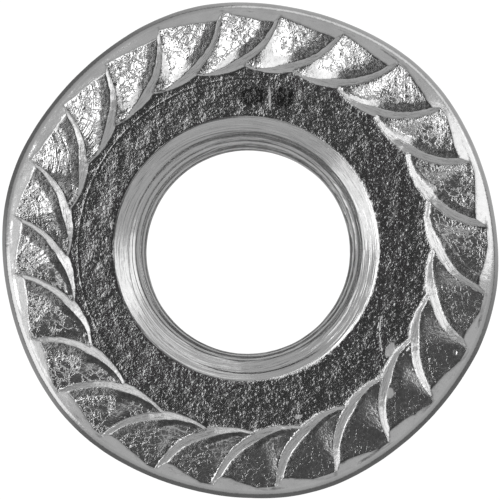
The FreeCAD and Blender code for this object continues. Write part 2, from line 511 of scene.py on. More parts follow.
@dataclass
class BearingFace:
    """Serrated face: coined teeth with curved flanks, and the recess between them and the bore."""

    # The face as a whole
    outline: RimOutline = field(default_factory=RimOutline)
    land: Land = Land()
    bore_x: float = -0.16
    bore_y: float = 0.05
    mouth_radius: float = 5.06
    seed: int = 11
    # Teeth: their number, places and depth, which swings round the face
    tooth_count: int = 24
    first_tip: float = 5.4
    ring_radius: float = 9.04
    depth_outer: float = 0.15
    depth_inner: float = 0.22
    depth_swing: float = 0.36
    deepest_bearing: float = -45.0
    floor_gap: float = 0.01
    # Crests: level strips that narrow inward, and dip where the tooth runs out beside the recess
    crest_width: float = 0.33
    crest_narrowing: float = 0.24
    width_swing: float = 0.22
    crest_dip: float = 0.2
    dip_from: float = 37.0
    dip_to: float = 4.0
    dip_narrowing: float = 0.3
    # Ramps, which sink a little at the foot beside the land
    shortest_ramp: float = 0.25
    steepest_ramp: float = 9.5
    steepness_swing: float = 3.5
    past_foot: float = 0.8
    ramp_ends: tuple[float, float] = (-0.6, 1.6)
    foot_sink: float = 0.012
    sink_across: tuple[float, float] = (0.12, 0.02)
    sink_along: tuple[float, float] = (0.6, 0.9)
    # Flanks: arcs about centres outside the ring, with a slope at the tip and one beside the recess
    flank_radius: float = 3.22
    flank_centre: float = 10.0
    flank_slope_tip: float = 38.5
    flank_slope_bore: float = 37.5
    # Recess, with a faint step and a raised line along it on one side
    recess_depth: float = 0.28
    step_radius: float = 6.54
    step_depth: float = 0.007
    step_bearing: float = 145.0
    step_half_width: float = 0.02
    ridge_height: float = 0.0035
    ridge_width: float = 0.016
    ridge_end: float = 0.5
    # How far creases are rounded
    blend: float = 0.012
    join_blend: float = 0.0072
    floor_blend: float = 0.035
    land_blend: float = 0.012
    ring_blend: float = 0.003
    land_fade: float = 0.12
    # Half the distance over which the facing of a point is worked out
    normal_step: float = 0.005
    # What the materials are told: the punch's strokes, and painted shade in the creases at the land and at each
    # flank's foot
    stroke_reach: float = 1.8
    stroke_soft: float = 0.6
    stroke_least: float = 0.3
    stroke_stride: float = 3.7
    crease_shade_height: float = 0.016
    crease_shade_from: float = 8.5
    shade_at_land: float = 0.6
    shade_at_foot: float = 0.8
    crease_shade_wave: Wave = Wave(0.35, 0.3, 0.3, 61)
    # Relief: edges that wander, wear of the ramps, flanks and crests, and the swells of the rest
    ring_waves: tuple[Wave, ...] = (Wave(0.03, 1.1, 1.1, 27), Wave(0.012, 0.35, 0.35, 28))
    stray_waves: tuple[Wave, ...] = (
        Wave(0.022, 14.0, 1.0, 13, (0.0, 0.5), (0.0, 5.0)), Wave(0.012, 4.0, 1.0, 14, (0.0, 0.5), (0.0, 5.0)),
    )
    crest_waves: tuple[Wave, ...] = (
        Wave(0.16, 6.0, 1.0, 12, (0.0, 0.5), (0.0, 3.0)), Wave(0.14, 1.8, 1.0, 15, (0.0, 0.5), (0.0, 3.0)),
    )
    arc_wave: Wave = Wave(0.008, 0.18, 34.0, 1, shift=(31.0, 17.0))
    arc_fade: float = 0.6
    arc_fade_along: tuple[float, float] = (0.4, 0.8)
    cloud_wave: Wave = Wave(1.0, 0.6, 0.6, 9, (3.0, 0.0))
    cloud_band: tuple[float, float] = (-0.2, 0.6)
    crest_clear: float = 0.12
    wrinkle_waves: tuple[Wave, ...] = (Wave(0.003, 0.24, 0.24, 3), Wave(0.0018, 0.15, 0.15, 4, (9.0, 0.0)))
    pit_waves: tuple[Wave, ...] = (Wave(1.0, 0.3, 0.3, 5, (0.0, 5.0)), Wave(1.0, 0.13, 0.13, 6))
    pit_threshold: float = 0.16
    pit_depth: float = 0.02
    swell_wave: Wave = Wave(0.006, 0.95, 0.95, 7)
    flank_waves: tuple[Wave, ...] = (
        Wave(0.006, 0.16, 4.0, 8, shift=(0.0, 3.0)), Wave(0.004, 0.1, 1.6, 11, shift=(0.0, 7.0)),
    )
    level_wave: Wave = Wave(0.003, 0.25, 9.0, 10, shift=(0.0, 5.0))
    plane_waves: tuple[Wave, ...] = (Wave(0.003, 0.6, 0.6, 23), Wave(0.0012, 0.2, 0.2, 24))
    floor_waves: tuple[Wave, ...] = (Wave(0.004, 0.8, 0.8, 25), Wave(0.002, 0.25, 0.25, 26))
    land_waves: tuple[Wave, ...] = (Wave(0.011, 0.9, 0.9, 21), Wave(0.004, 0.3, 0.3, 22))
    # Marks that the photo shows, each in its place, and how each tooth differs, from the first one on
    scratches: tuple[Scratch, ...] = (
        Scratch((4.98, -2.5), (4.9, -3.1), 0.016, 0.006),
        Scratch((4.9, -3.1), (5.02, -3.9), 0.016, 0.006),
    )
    stains: tuple[Stain, ...] = (
        Stain(5.33, -3.8, 0.31, 0.15, 62.0),
        Stain(5.32, -5.44, 0.2, 0.15, 80.0),
        Stain(1.85, -6.35, 0.14, 0.08, 10.0),
        Stain(-6.15, 1.0, 0.12, 0.07, 70.0),
        Stain(0.75, 5.8, 0.46, 0.045, 92.0),
    )
    # Dark patches on the recess floor, which darken it through the same mask and colour as the painted crease shade
    dark_patches: tuple[Stain, ...] = (
        Stain(1.24, 5.82, 0.44, 0.4, 0.0),
        Stain(0.1, 5.86, 0.56, 0.34, 10.0),
    )
    dark_share: float = 0.9
    crack_strength: tuple[float, ...] = (
        0.3, 0.35, 0.5, 0.6, 0.9, 1.0, 1.1, 1.1, 0.8, 0.6, 0.45, 0.4,
        0.4, 0.35, 0.2, 0.15, 0.12, 0.1, 0.08, 0.08, 0.08, 0.08, 0.1, 0.15,
    )
    arc_strength: tuple[float, ...] = (
        0.2, 0.15, 0.15, 0.15, 0.15, 0.25, 0.3, 0.55, 1.0, 1.0, 0.35, 0.25,
        0.25, 0.3, 0.9, 1.0, 0.6, 0.35, 0.3, 0.2, 0.2, 0.2, 0.55, 0.4,
    )
    tip_drift: tuple[float, ...] = (
        -0.5, 0.4, 0.1, 0.1, -0.2, 0.7, 0.1, 0.7, 0.9, 0.4, 0.8, 0.1,
        -0.8, 0.5, 0.1, -0.2, 0.4, -0.5, 0.1, -0.2, -0.6, -0.8, -0.8, -1.9,
    )

    def __post_init__(self) -> None:
        """Works out the corners of the first tooth and draws how much each tooth differs."""
        self.pitch = 360.0 / self.tooth_count
        sides = self.flank_centre**2 + self.ring_radius**2 - self.flank_radius**2
        self.lean = math.degrees(math.acos(sides / (2.0 * self.flank_centre * self.ring_radius)))
        half = math.radians(self.pitch / 2.0)
        reach = math.sqrt(self.flank_radius**2 - (self.flank_centre * math.sin(half)) ** 2)
        self.cusp_radius = self.flank_centre * math.cos(half) - reach
        centre = polar(self.flank_centre, self.lean)
        first = polar(self.ring_radius, 0.0) - centre
        last = polar(self.cusp_radius, self.lean + self.pitch / 2.0) - centre
        self.first_bearing = math.degrees(math.atan2(first[1], first[0])) % 360.0
        self.last_bearing = math.degrees(math.atan2(last[1], last[0])) % 360.0
        draw = np.random.default_rng(self.seed)
        self.roughness = draw.uniform(0.65, 1.35, self.tooth_count)
        self.dip = draw.uniform(-0.02, 0.02, self.tooth_count)

    def tip(self, tooth: Array | int) -> Array:
        """Angle of a tooth's tip with its own drift. The number may be counted on past the last tooth."""
        return self.first_tip + self.pitch * tooth + np.array(self.tip_drift)[np.mod(tooth, self.tooth_count)]

    def flank_rise(self, bearing: Array) -> Array:
        """Rise of the flank over its run, steeper at the tip than beside the recess.

        Args:
            bearing: Angle about the flank's centre, as round_centre gives it.

        Returns:
            The rise for each unit of run.
        """
        share = smooth_step(self.first_bearing, self.last_bearing, bearing)
        slope = self.flank_slope_tip + (self.flank_slope_bore - self.flank_slope_tip) * share
        return np.tan(np.radians(slope))

    def ring_edge(self, x: Array, y: Array) -> Array:
        """Radius where the teeth end and the land begins, which strays a little round the face.

        Args:
            x: First coordinates.
            y: Second coordinates.

        Returns:
            The radius at each point's angle.
        """
        radius = np.hypot(x, y)
        across, along = x / radius * self.ring_radius, y / radius * self.ring_radius
        return self.ring_radius + relief(self.ring_waves, across, along)

    def crest(self, bearing: Array) -> tuple[Array, Array]:
        """Level strip along a tooth's crest, which dips and narrows where the tooth runs out beside the recess.

        Args:
            bearing: Angle about the flank's centre, as round_centre gives it.

        Returns:
            Height of the strip over the plane of the crests, and its width.
        """
        dip = smooth_step(self.last_bearing + self.dip_from, self.last_bearing + self.dip_to, bearing)
        inward = smooth_step(self.first_bearing, self.last_bearing, bearing)
        width = self.crest_width * (1.0 - self.crest_narrowing * inward) * (1.0 - self.dip_narrowing * dip)
        return -self.crest_dip * dip, width

    def stray(self, bearing: Array, tooth: Array | int) -> Array:
        """How far a tooth's flank lies outside its true curve, at bearings as round_centre gives them."""
        return relief(self.stray_waves, bearing, 0.0, np.mod(tooth, self.tooth_count))

    def round_centre(self, x: Array, y: Array, tooth: Array) -> tuple[Array, Array]:
        """Place of each point as seen from the centre of a tooth's flank.

        Args:
            x: First coordinates.
            y: Second coordinates.
            tooth: Number of the tooth to take at each point.

        Returns:
            Distance from the centre, less the flank's stray, and bearing in the tooth's frame from 0 to 360.
        """
        tip = self.tip(tooth)
        centre = polar(self.flank_centre, self.lean + tip)
        off_x, off_y = x - centre[..., 0], y - centre[..., 1]
        bearing = (np.degrees(np.arctan2(off_y, off_x)) - tip) % 360.0
        return np.hypot(off_x, off_y) - self.stray(bearing, tooth), bearing

    def deepest(self, x: Array, y: Array) -> Array:
        """1 at the side of the face where the teeth are deepest, falling to -1 opposite."""
        return np.cos(np.arctan2(y, x) - math.radians(self.deepest_bearing))

    def near_teeth(self, x: Array, y: Array) -> list[Array]:
        """Numbers of the four teeth that can lie over each point, from the next one to two back."""
        nearest = np.floor((np.degrees(np.arctan2(y, x)) - self.first_tip) / self.pitch).astype(int)
        return [nearest - back for back in (-1, 0, 1, 2)]

    def ramp_wear(self, x: Array, y: Array, off: Array, bearing: Array, number: Array, down: Array) -> Array:
        """Relief of a ramp: the punch's strokes, wrinkles, pits and swells, and the stray of the whole ramp.

        Args:
            x: First coordinates.
            y: Second coordinates.
            off: Distances from the centre of the tooth's flank.
            bearing: Angles about that centre, in the tooth's frame.
            number: Number of the tooth, from 0.
            down: How far down the ramp each point is, from 0 to 1.

        Returns:
            The heights, which fade out toward the crest.
        """
        arcs = self.arc_wave.at(off, bearing, number) * np.array(self.arc_strength)[number]
        arcs = arcs * (1.0 - self.arc_fade * smooth_step(*self.arc_fade_along, down))
        cloud = smooth_step(*self.cloud_band, self.cloud_wave.at(x, y))
        wrinkles = cloud * relief(self.wrinkle_waves, x, y) * self.roughness[number]
        wide, narrow = (wave.at(x, y) for wave in self.pit_waves)
        pits = self.pit_depth * np.maximum(wide * narrow - self.pit_threshold, 0.0)
        whole = arcs + wrinkles - pits + self.swell_wave.at(x, y) + self.dip[number]
        return whole * smooth_step(0.0, self.crest_clear, down)

    def tooth(self, x: Array, y: Array, tooth: Array, worn: bool) -> tuple[Array, ...]:
        """Ramp, crest strip and flank of one tooth over each point.

        Args:
            x: First coordinates.
            y: Second coordinates.
            tooth: Number of the tooth to take at each point.
            worn: Whether the ramp has its creases, wrinkles and pits.

        Returns:
            Height of the ramp, of the crest strip and of the flank.
        """
        number = np.mod(tooth, self.tooth_count)
        off, bearing = self.round_centre(x, y, tooth)
        off_next, bearing_next = self.round_centre(x, y, tooth + 1)
        rise = self.flank_rise(bearing)
        flank = (self.flank_radius - off) * rise - self.recess_depth
        level, width = self.crest(bearing)
        deepest = self.deepest(x, y)
        width = width * (1.0 - self.width_swing * deepest)
        if worn:
            width = width * (1.0 + relief(self.crest_waves, bearing, 0.0, number))
        inward = np.clip((self.ring_radius - np.hypot(x, y)) / (self.ring_radius - self.cusp_radius), 0.0, 1.0)
        depth = self.depth_outer + (self.depth_inner - self.depth_outer) * inward
        depth = depth * (1.0 + self.depth_swing * deepest)
        depth = np.minimum(depth, self.recess_depth - self.floor_gap)
        from_strip = self.flank_radius - (self.recess_depth + level) / rise - width - off
        from_foot = off_next - self.flank_radius + (self.recess_depth - depth) / self.flank_rise(bearing_next)
        length = np.maximum(from_strip + from_foot, self.shortest_ramp)
        steepest = self.steepest_ramp - self.steepness_swing * np.maximum(deepest, 0.0)
        drop = np.minimum(level + depth, length * np.tan(np.radians(steepest)))
        down = from_strip / length
        down = np.where(from_foot < 0.0, np.maximum(down, 1.0 - from_foot / self.past_foot), down)
        down = np.clip(down, *self.ramp_ends)
        sink = smooth_step(*self.sink_across, inward) * smooth_step(*self.sink_along, down)
        ramp = level - drop * down - self.foot_sink * sink
        if worn:
            ramp = ramp + self.ramp_wear(x, y, off, bearing, number, down)
            flank = flank + relief(self.flank_waves, off, bearing, number)
            level = level + self.level_wave.at(off, bearing, number)
        return ramp, level, flank

    def over_teeth(self, x: Array, y: Array, worn: bool, skip: int | None = None) -> tuple[Array, Array]:
        """Height of the teeth over the plane of their crests, before the recess and the land bound them.

        Args:
            x: First coordinates.
            y: Second coordinates.
            worn: Whether the ramps have their relief.
            skip: Number of a tooth to leave out.

        Returns:
            The heights, and the zone numbers of the surfaces that they lie on.
        """
        height = np.full(x.shape, FAR_BELOW)
        zone = np.full(x.shape, Zone.COINED.value)
        for number in self.near_teeth(x, y):
            ramp, level, flank = self.tooth(x, y, number, worn)
            upper = smooth_min(ramp, level, self.blend)
            one = smooth_min(upper, flank, self.blend)
            if skip is not None:
                one = np.where(np.mod(number - skip, self.tooth_count) == 0, FAR_BELOW, one)
            part = np.where(ramp < level, Zone.COINED.value, Zone.CREST.value)
            part = np.where(flank < np.minimum(ramp, level), Zone.FLANK.value, part)
            zone = np.where(one > height, part, zone)
            height = smooth_max(height, one, self.join_blend)
        return height, zone

    def surface(self, x: Array, y: Array) -> tuple[Array, Array]:
        """Height of the whole face and the zone that each point is in.

        Args:
            x: First coordinates.
            y: Second coordinates.

        Returns:
            Heights over the plane of the crests, and zone numbers.
        """
        radius = np.hypot(x, y)
        angle = np.degrees(np.arctan2(y, x))
        plane = relief(self.plane_waves, x, y)
        turn = np.cos(np.radians(angle - self.step_bearing))
        step = self.step_depth * (0.5 + 0.5 * turn)
        inner, outer = self.step_radius - self.step_half_width, self.step_radius + self.step_half_width
        floor = relief(self.floor_waves, x, y) - self.recess_depth - step * smooth_step(outer, inner, radius)
        ridge = self.ridge_height * smooth_step(0.0, self.ridge_end, turn)
        floor = floor + ridge * np.exp(-(((radius - self.step_radius) / self.ridge_width) ** 2))
        teeth, zone = self.over_teeth(x, y, True)
        within = smooth_max(teeth, floor, self.floor_blend)
        within = smooth_min(within, plane, self.blend)
        cone = smooth_min(self.land_height(x, y), plane, self.land_blend)
        outside = radius > self.ring_edge(x, y)
        height = np.where(outside, cone, smooth_min(within, cone, self.ring_blend))
        for scratch in self.scratches:
            height = height - scratch.depth_at(x, y)
        zone[teeth < floor] = Zone.RECESS.value
        zone[outside | (cone < within)] = Zone.FORGED.value
        return height, zone

    def land_height(self, x: Array, y: Array) -> Array:
        """Height of the land's cone over the plane of the crests.

        Args:
            x: First coordinates.
            y: Second coordinates.

        Returns:
            The heights.
        """
        inset = self.outline.inset(x, y)
        land = -(self.land.width - inset) * math.tan(math.radians(self.land.angle))
        from_edge = smooth_step(self.land.edge_inset, self.land.edge_inset + self.land_fade, inset)
        return land + from_edge * relief(self.land_waves, x, y)

    def crease_shade_and_dark_patches(self, x: Array, y: Array) -> Array:
        """How much painted shade darkens the creases at the land and at each flank's foot, and how dark the given
        patches on the recess floor are.

        Args:
            x: First coordinates.
            y: Second coordinates.

        Returns:
            Shares from 0 to 1.
        """
        # Painted shade: a dark band along the creases where the teeth meet the land and where each flank's foot meets
        # the next ramp, with a random strength
        teeth = np.minimum(self.over_teeth(x, y, True)[0], 0.0)
        at_land = np.exp(-(((teeth - self.land_height(x, y)) / self.crease_shade_height) ** 2))
        at_land = at_land * (np.hypot(x, y) > self.crease_shade_from)
        first = np.full(x.shape, FAR_BELOW)
        second = np.full(x.shape, FAR_BELOW)
        for number in self.near_teeth(x, y):
            one = np.min(self.tooth(x, y, number, False), axis=0)
            second = np.maximum(second, np.minimum(first, one))
            first = np.maximum(first, one)
        at_foot = np.exp(-(((first - second) / self.crease_shade_height) ** 2)) * (first > -self.recess_depth)
        patchy = 1.0 - self.crease_shade_wave.height + self.crease_shade_wave.at(x, y)
        darkening = np.maximum(self.shade_at_land * at_land, self.shade_at_foot * at_foot) * patchy
        for patch in self.dark_patches:
            darkening = np.maximum(darkening, self.dark_share * patch.share(x, y) * (first < -self.recess_depth))
        return np.clip(darkening, 0.0, 1.0)

    def facing(self, x: Array, y: Array) -> Array:
        """Direction that the face looks in.

        Args:
            x: First coordinates.
            y: Second coordinates.

        Returns:
            One unit vector to each point.
        """
        step = self.normal_step
        slope_x = (self.surface(x + step, y)[0] - self.surface(x - step, y)[0]) / (2.0 * step)
        slope_y = (self.surface(x, y + step)[0] - self.surface(x, y - step)[0]) / (2.0 * step)
        return unit(np.stack([-slope_x, -slope_y, np.ones_like(x)], axis=-1))

    def strokes(self, x: Array, y: Array) -> tuple[Array, Array, Array]:
        """Place of each point along the strokes that the punch left, which follow the curve of each flank.

        Args:
            x: First coordinates.
            y: Second coordinates.

        Returns:
            Distance from the flank's centre, distance along the stroke and a number for the tooth, in rows, then
            how strong the strokes are and how strong the cracks.
        """
        best = np.full(x.shape, FAR_BELOW)
        strokes, arcs, cracks = np.zeros((len(x), 3)), np.zeros(len(x)), np.zeros(len(x))
        for tooth in self.near_teeth(x, y):
            height = np.min(self.tooth(x, y, tooth, False), axis=0)
            off, bearing = self.round_centre(x, y, tooth)
            number = np.mod(tooth, self.tooth_count)
            along = np.radians(bearing) * self.flank_radius
            higher = height > best
            best = np.where(higher, height, best)
            strokes[higher] = np.stack([off, along, number * self.stroke_stride], -1)[higher]
            near = smooth_step(self.stroke_reach, self.stroke_reach - self.stroke_soft, self.flank_radius - off)
            fade = self.stroke_least + (1.0 - self.stroke_least) * near
            arcs[higher] = (fade * np.array(self.arc_strength)[number])[higher]
            cracks[higher] = np.array(self.crack_strength)[number][higher]
        return strokes, arcs, cracks


@dataclass
class FaceMesh:
    """Mesh of the bearing face, with lines of points along its creases and marks and staggered rings between them."""

    face: BearingFace = field(default_factory=BearingFace)
    tooth_grain: float = 0.066
    recess_grain: float = 0.1
    row_share: float = 0.87
    scatter: float = 0.09
    least_gap: float = 0.5
    teeth_margin: float = 0.05
    mouth_margin: float = 0.1
    edge_slack: float = 0.002
    snap: float = 1e-6
    ring_points: int = 720
    land_points: int = 1080
    land_steps: int = 45
    land_from: float = 8.6
    land_line_gap: float = 0.014
    step_points: int = 480
    flank_points: int = 64
    flank_overrun: tuple[float, float] = (1.2, 1.0)
    foot_rounds: int = 6
    highest_foot: float = -0.02
    least_flank: float = 0.05
    line_margin: float = 0.03
    crease: float = 0.012
    land_crease: float = 0.009
    step_crease: float = 0.022

    def land_line(self, angle: Array) -> Array:
        """Radius at which the teeth meet the land.

        Args:
            angle: Angles about the axis.

        Returns:
            The radius at each angle.
        """
        rays = polar(1.0, angle)
        last = self.face.ring_edge(rays[:, 0], rays[:, 1]) - self.land_line_gap
        radius = last.copy()
        for step in np.linspace(0.0, 1.0, self.land_steps)[::-1]:
            reach = self.land_from + (last - self.land_from) * step
            x, y = rays[:, 0] * reach, rays[:, 1] * reach
            teeth = np.minimum(self.face.over_teeth(x, y, True)[0], 0.0)
            radius = np.where(teeth > self.face.land_height(x, y), reach, radius)
        return radius

    def tooth_lines(self) -> list[Array]:
        """Pairs of lines along the top and the foot of each flank, so that its creases are crisp.

        Returns:
            The lines, each as rows of x and y.
        """
        lines = []
        before, after = self.flank_overrun
        bearings = np.linspace(self.face.first_bearing - before, self.face.last_bearing + after, self.flank_points)
        rise = self.face.flank_rise(bearings)
        level, width = self.face.crest(bearings)
        for number in range(self.face.tooth_count):
            turn = float(self.face.tip(number))
            centre = polar(self.face.flank_centre, self.face.lean + turn)
            stray = self.face.stray(bearings, number)
            rays = polar(1.0, bearings + turn)
            at = centre + rays * self.face.flank_radius
            top = self.face.flank_radius - (self.face.recess_depth + level) / rise
            inner = top - width * (1.0 - self.face.width_swing * self.face.deepest(at[:, 0], at[:, 1]))
            foot = np.full(len(bearings), self.face.flank_radius)
            for _ in range(self.foot_rounds):
                at = centre + rays * (foot + stray)[:, None]
                low, _zone = self.face.over_teeth(at[:, 0], at[:, 1], False, skip=number)
                low = np.clip(low, -self.face.recess_depth, self.highest_foot)
                foot = self.face.flank_radius - (self.face.recess_depth + low) / rise
            for edge in (inner, top - self.crease, top + self.crease, foot - self.crease, foot + self.crease):
                at = centre + rays * (edge + stray)[:, None]
                inside = np.hypot(at[:, 0], at[:, 1]) < self.face.ring_edge(at[:, 0], at[:, 1]) - self.line_margin
                lines.append(at[inside & (foot - top > self.least_flank)])
        return lines

    def lattice(self, inner: float, outer: float, grain: float, seed: int) -> Array:
        """Staggered rings of points with a little scatter.

        Args:
            inner: Radius of the first ring.
            outer: Radius that the last ring stays inside.
            grain: Distance between points.
            seed: Number that fixes the scatter.

        Returns:
            Rows of x and y.
        """
        draw = np.random.default_rng(seed)
        rings = []
        for index, radius in enumerate(np.arange(inner, outer, grain * self.row_share)):
            count = int(round(TURN * radius / grain))
            angle = (np.arange(count) + 0.5 * (index % 2)) * 360.0 / count
            rings.append(polar(np.full(count, radius), angle))
        points = np.concatenate(rings)
        return points + draw.normal(0.0, grain * self.scatter, points.shape)

    def loops(self) -> list[Array]:
        """Closed lines for the mesh to follow: the teeth's outer end, the land's line, the recess's step, the stains.

        Returns:
            The loops, each as rows of x and y.
        """
        angle = even_angles(self.ring_points)
        rays = polar(1.0, angle)
        ring = self.face.ring_edge(rays[:, 0], rays[:, 1])
        loops = [polar(radius, angle) for radius in (ring - self.crease, ring + self.crease)]
        angle = even_angles(self.land_points)
        line = self.land_line(angle)
        loops += [polar(radius, angle) for radius in (line - self.land_crease, line + self.land_crease)]
        angle = even_angles(self.step_points)
        for aside in (-self.step_crease, 0.0, self.step_crease):
            loops.append(polar(np.full(len(angle), self.face.step_radius + aside), angle))
        for stain in self.face.stains:
            loops += stain.loops()
        return loops

    def fixed_lines(self, edge: Array, mouth: Array) -> tuple[Array, Array]:
        """Points that the mesh has to hold, and the edges between them.

        Args:
            edge: The face's outer loop, as rows of x and y.
            mouth: Its inner loop, round the bore.

        Returns:
            The points, with those of edge and mouth first, and pairs of their indices.
        """
        closed = [edge, mouth, *self.loops()]
        loose_ends = [*self.tooth_lines(), *(line for scratch in self.face.scratches for line in scratch.lines())]
        lines = closed + [line for line in loose_ends if len(line) > 1]
        links = []
        first = 0
        for number, line in enumerate(lines):
            index = np.arange(len(line)) + first
            links.append(np.stack([index[:-1], index[1:]], axis=1))
            if number < len(closed):
                links.append(np.array([[index[-1], index[0]]]))
            first += len(line)
        return np.concatenate(lines), np.concatenate(links)

    def loose_points(self, fixed: Array, outer: float) -> list[Array]:
        """Points that fill the face between the fixed ones, closer together over the teeth than in the recess.

        Args:
            fixed: The fixed points, which the others keep away from.
            outer: Radius of the face's outer loop.

        Returns:
            Two sets of rows of x and y.
        """
        tree = KDTree(len(fixed))
        for index, (x, y) in enumerate(fixed):
            tree.insert((x, y, 0.0), index)
        tree.balance()
        loose = []
        for inner_radius, outer_radius, grain, seed in (
            (self.face.step_radius + self.teeth_margin, outer, self.tooth_grain, 1),
            (self.face.mouth_radius - self.mouth_margin, self.face.step_radius, self.recess_grain, 2),
        ):
            points = self.lattice(inner_radius, outer_radius, grain, seed)
            points = points[self.on_face(points, self.line_margin, self.line_margin)]
            gaps = np.array([tree.find((x, y, 0.0))[2] for x, y in points])
            loose.append(points[gaps > grain * self.least_gap])
        return loose

    def on_face(self, points: Array, from_edge: float, from_mouth: float) -> Array:
        """Whether each point lies between the bore's mouth and the loop on the land.

        Args:
            points: Rows of x and y.
            from_edge: How far inside the loop on the land it has to lie.
            from_mouth: How far outside the mouth it has to lie.

        Returns:
            True or false for each point.
        """
        inset = self.face.outline.inset(points[:, 0], points[:, 1])
        from_bore = np.hypot(points[:, 0] - self.face.bore_x, points[:, 1] - self.face.bore_y)
        return (inset > self.face.land.edge_inset + from_edge) & (from_bore > self.face.mouth_radius + from_mouth)

    def build(self, skin: Skin, edge: Array, mouth: Array) -> tuple[Array, Array]:
        """Adds the face to the mesh.

        Args:
            skin: The mesh under way.
            edge: The face's outer loop, as rows of x and y.
            mouth: Its inner loop, round the bore.

        Returns:
            Point indices of the outer loop and of the inner loop.
        """
        fixed, links = self.fixed_lines(edge, mouth)
        outer = float(np.hypot(edge[:, 0], edge[:, 1]).max())
        flat = np.concatenate([fixed, *self.loose_points(fixed, outer)])
        found, _edges, faces, origins, _edge_origins, _face_origins = delaunay_2d_cdt(
            [Vector(point) for point in flat], [(int(start), int(end)) for start, end in links], [], 0, self.snap
        )
        place = np.array([(point.x, point.y) for point in found])
        height, _zone = self.face.surface(place[:, 0], place[:, 1])
        source = np.full(len(flat), -1)
        for new, olds in enumerate(origins):
            source[list(olds)] = new
        corners = np.array([face for face in faces if len(face) == 3])
        corners = corners[self.on_face(place[corners].mean(axis=1), -self.edge_slack, 0.0)]
        middle = place[corners].mean(axis=1)
        _height, zone = self.face.surface(middle[:, 0], middle[:, 1])
        used = np.unique(corners)
        x, y = place[used, 0], place[used, 1]
        index = skin.add_points(x, y, height[used] + self.face.land.top)
        renumber = np.full(len(place), -1)
        renumber[used] = index
        inner = ~np.isin(used, source[: len(edge) + len(mouth)])
        skin.facing.append((index[inner], self.face.facing(x[inner], y[inner])))
        strokes, arcs, cracks = self.face.strokes(x, y)
        stains = np.minimum(sum(stain.share(x, y) for stain in self.face.stains), 1.0)
        # The painted crease shade and the dark patches go to the materials with the other marks
        marks = {"strokes": strokes, "arcs": arcs, "cracks": cracks, "crease_shade_and_dark_patches": self.face.crease_shade_and_dark_patches(x, y), "stain": stains}
        for label, values in marks.items():
            skin.values[label].append((index, values))
        skin.add_triangles(renumber[corners], zone)
        return renumber[source[: len(edge)]], renumber[source[len(edge): len(edge) + len(mouth)]]


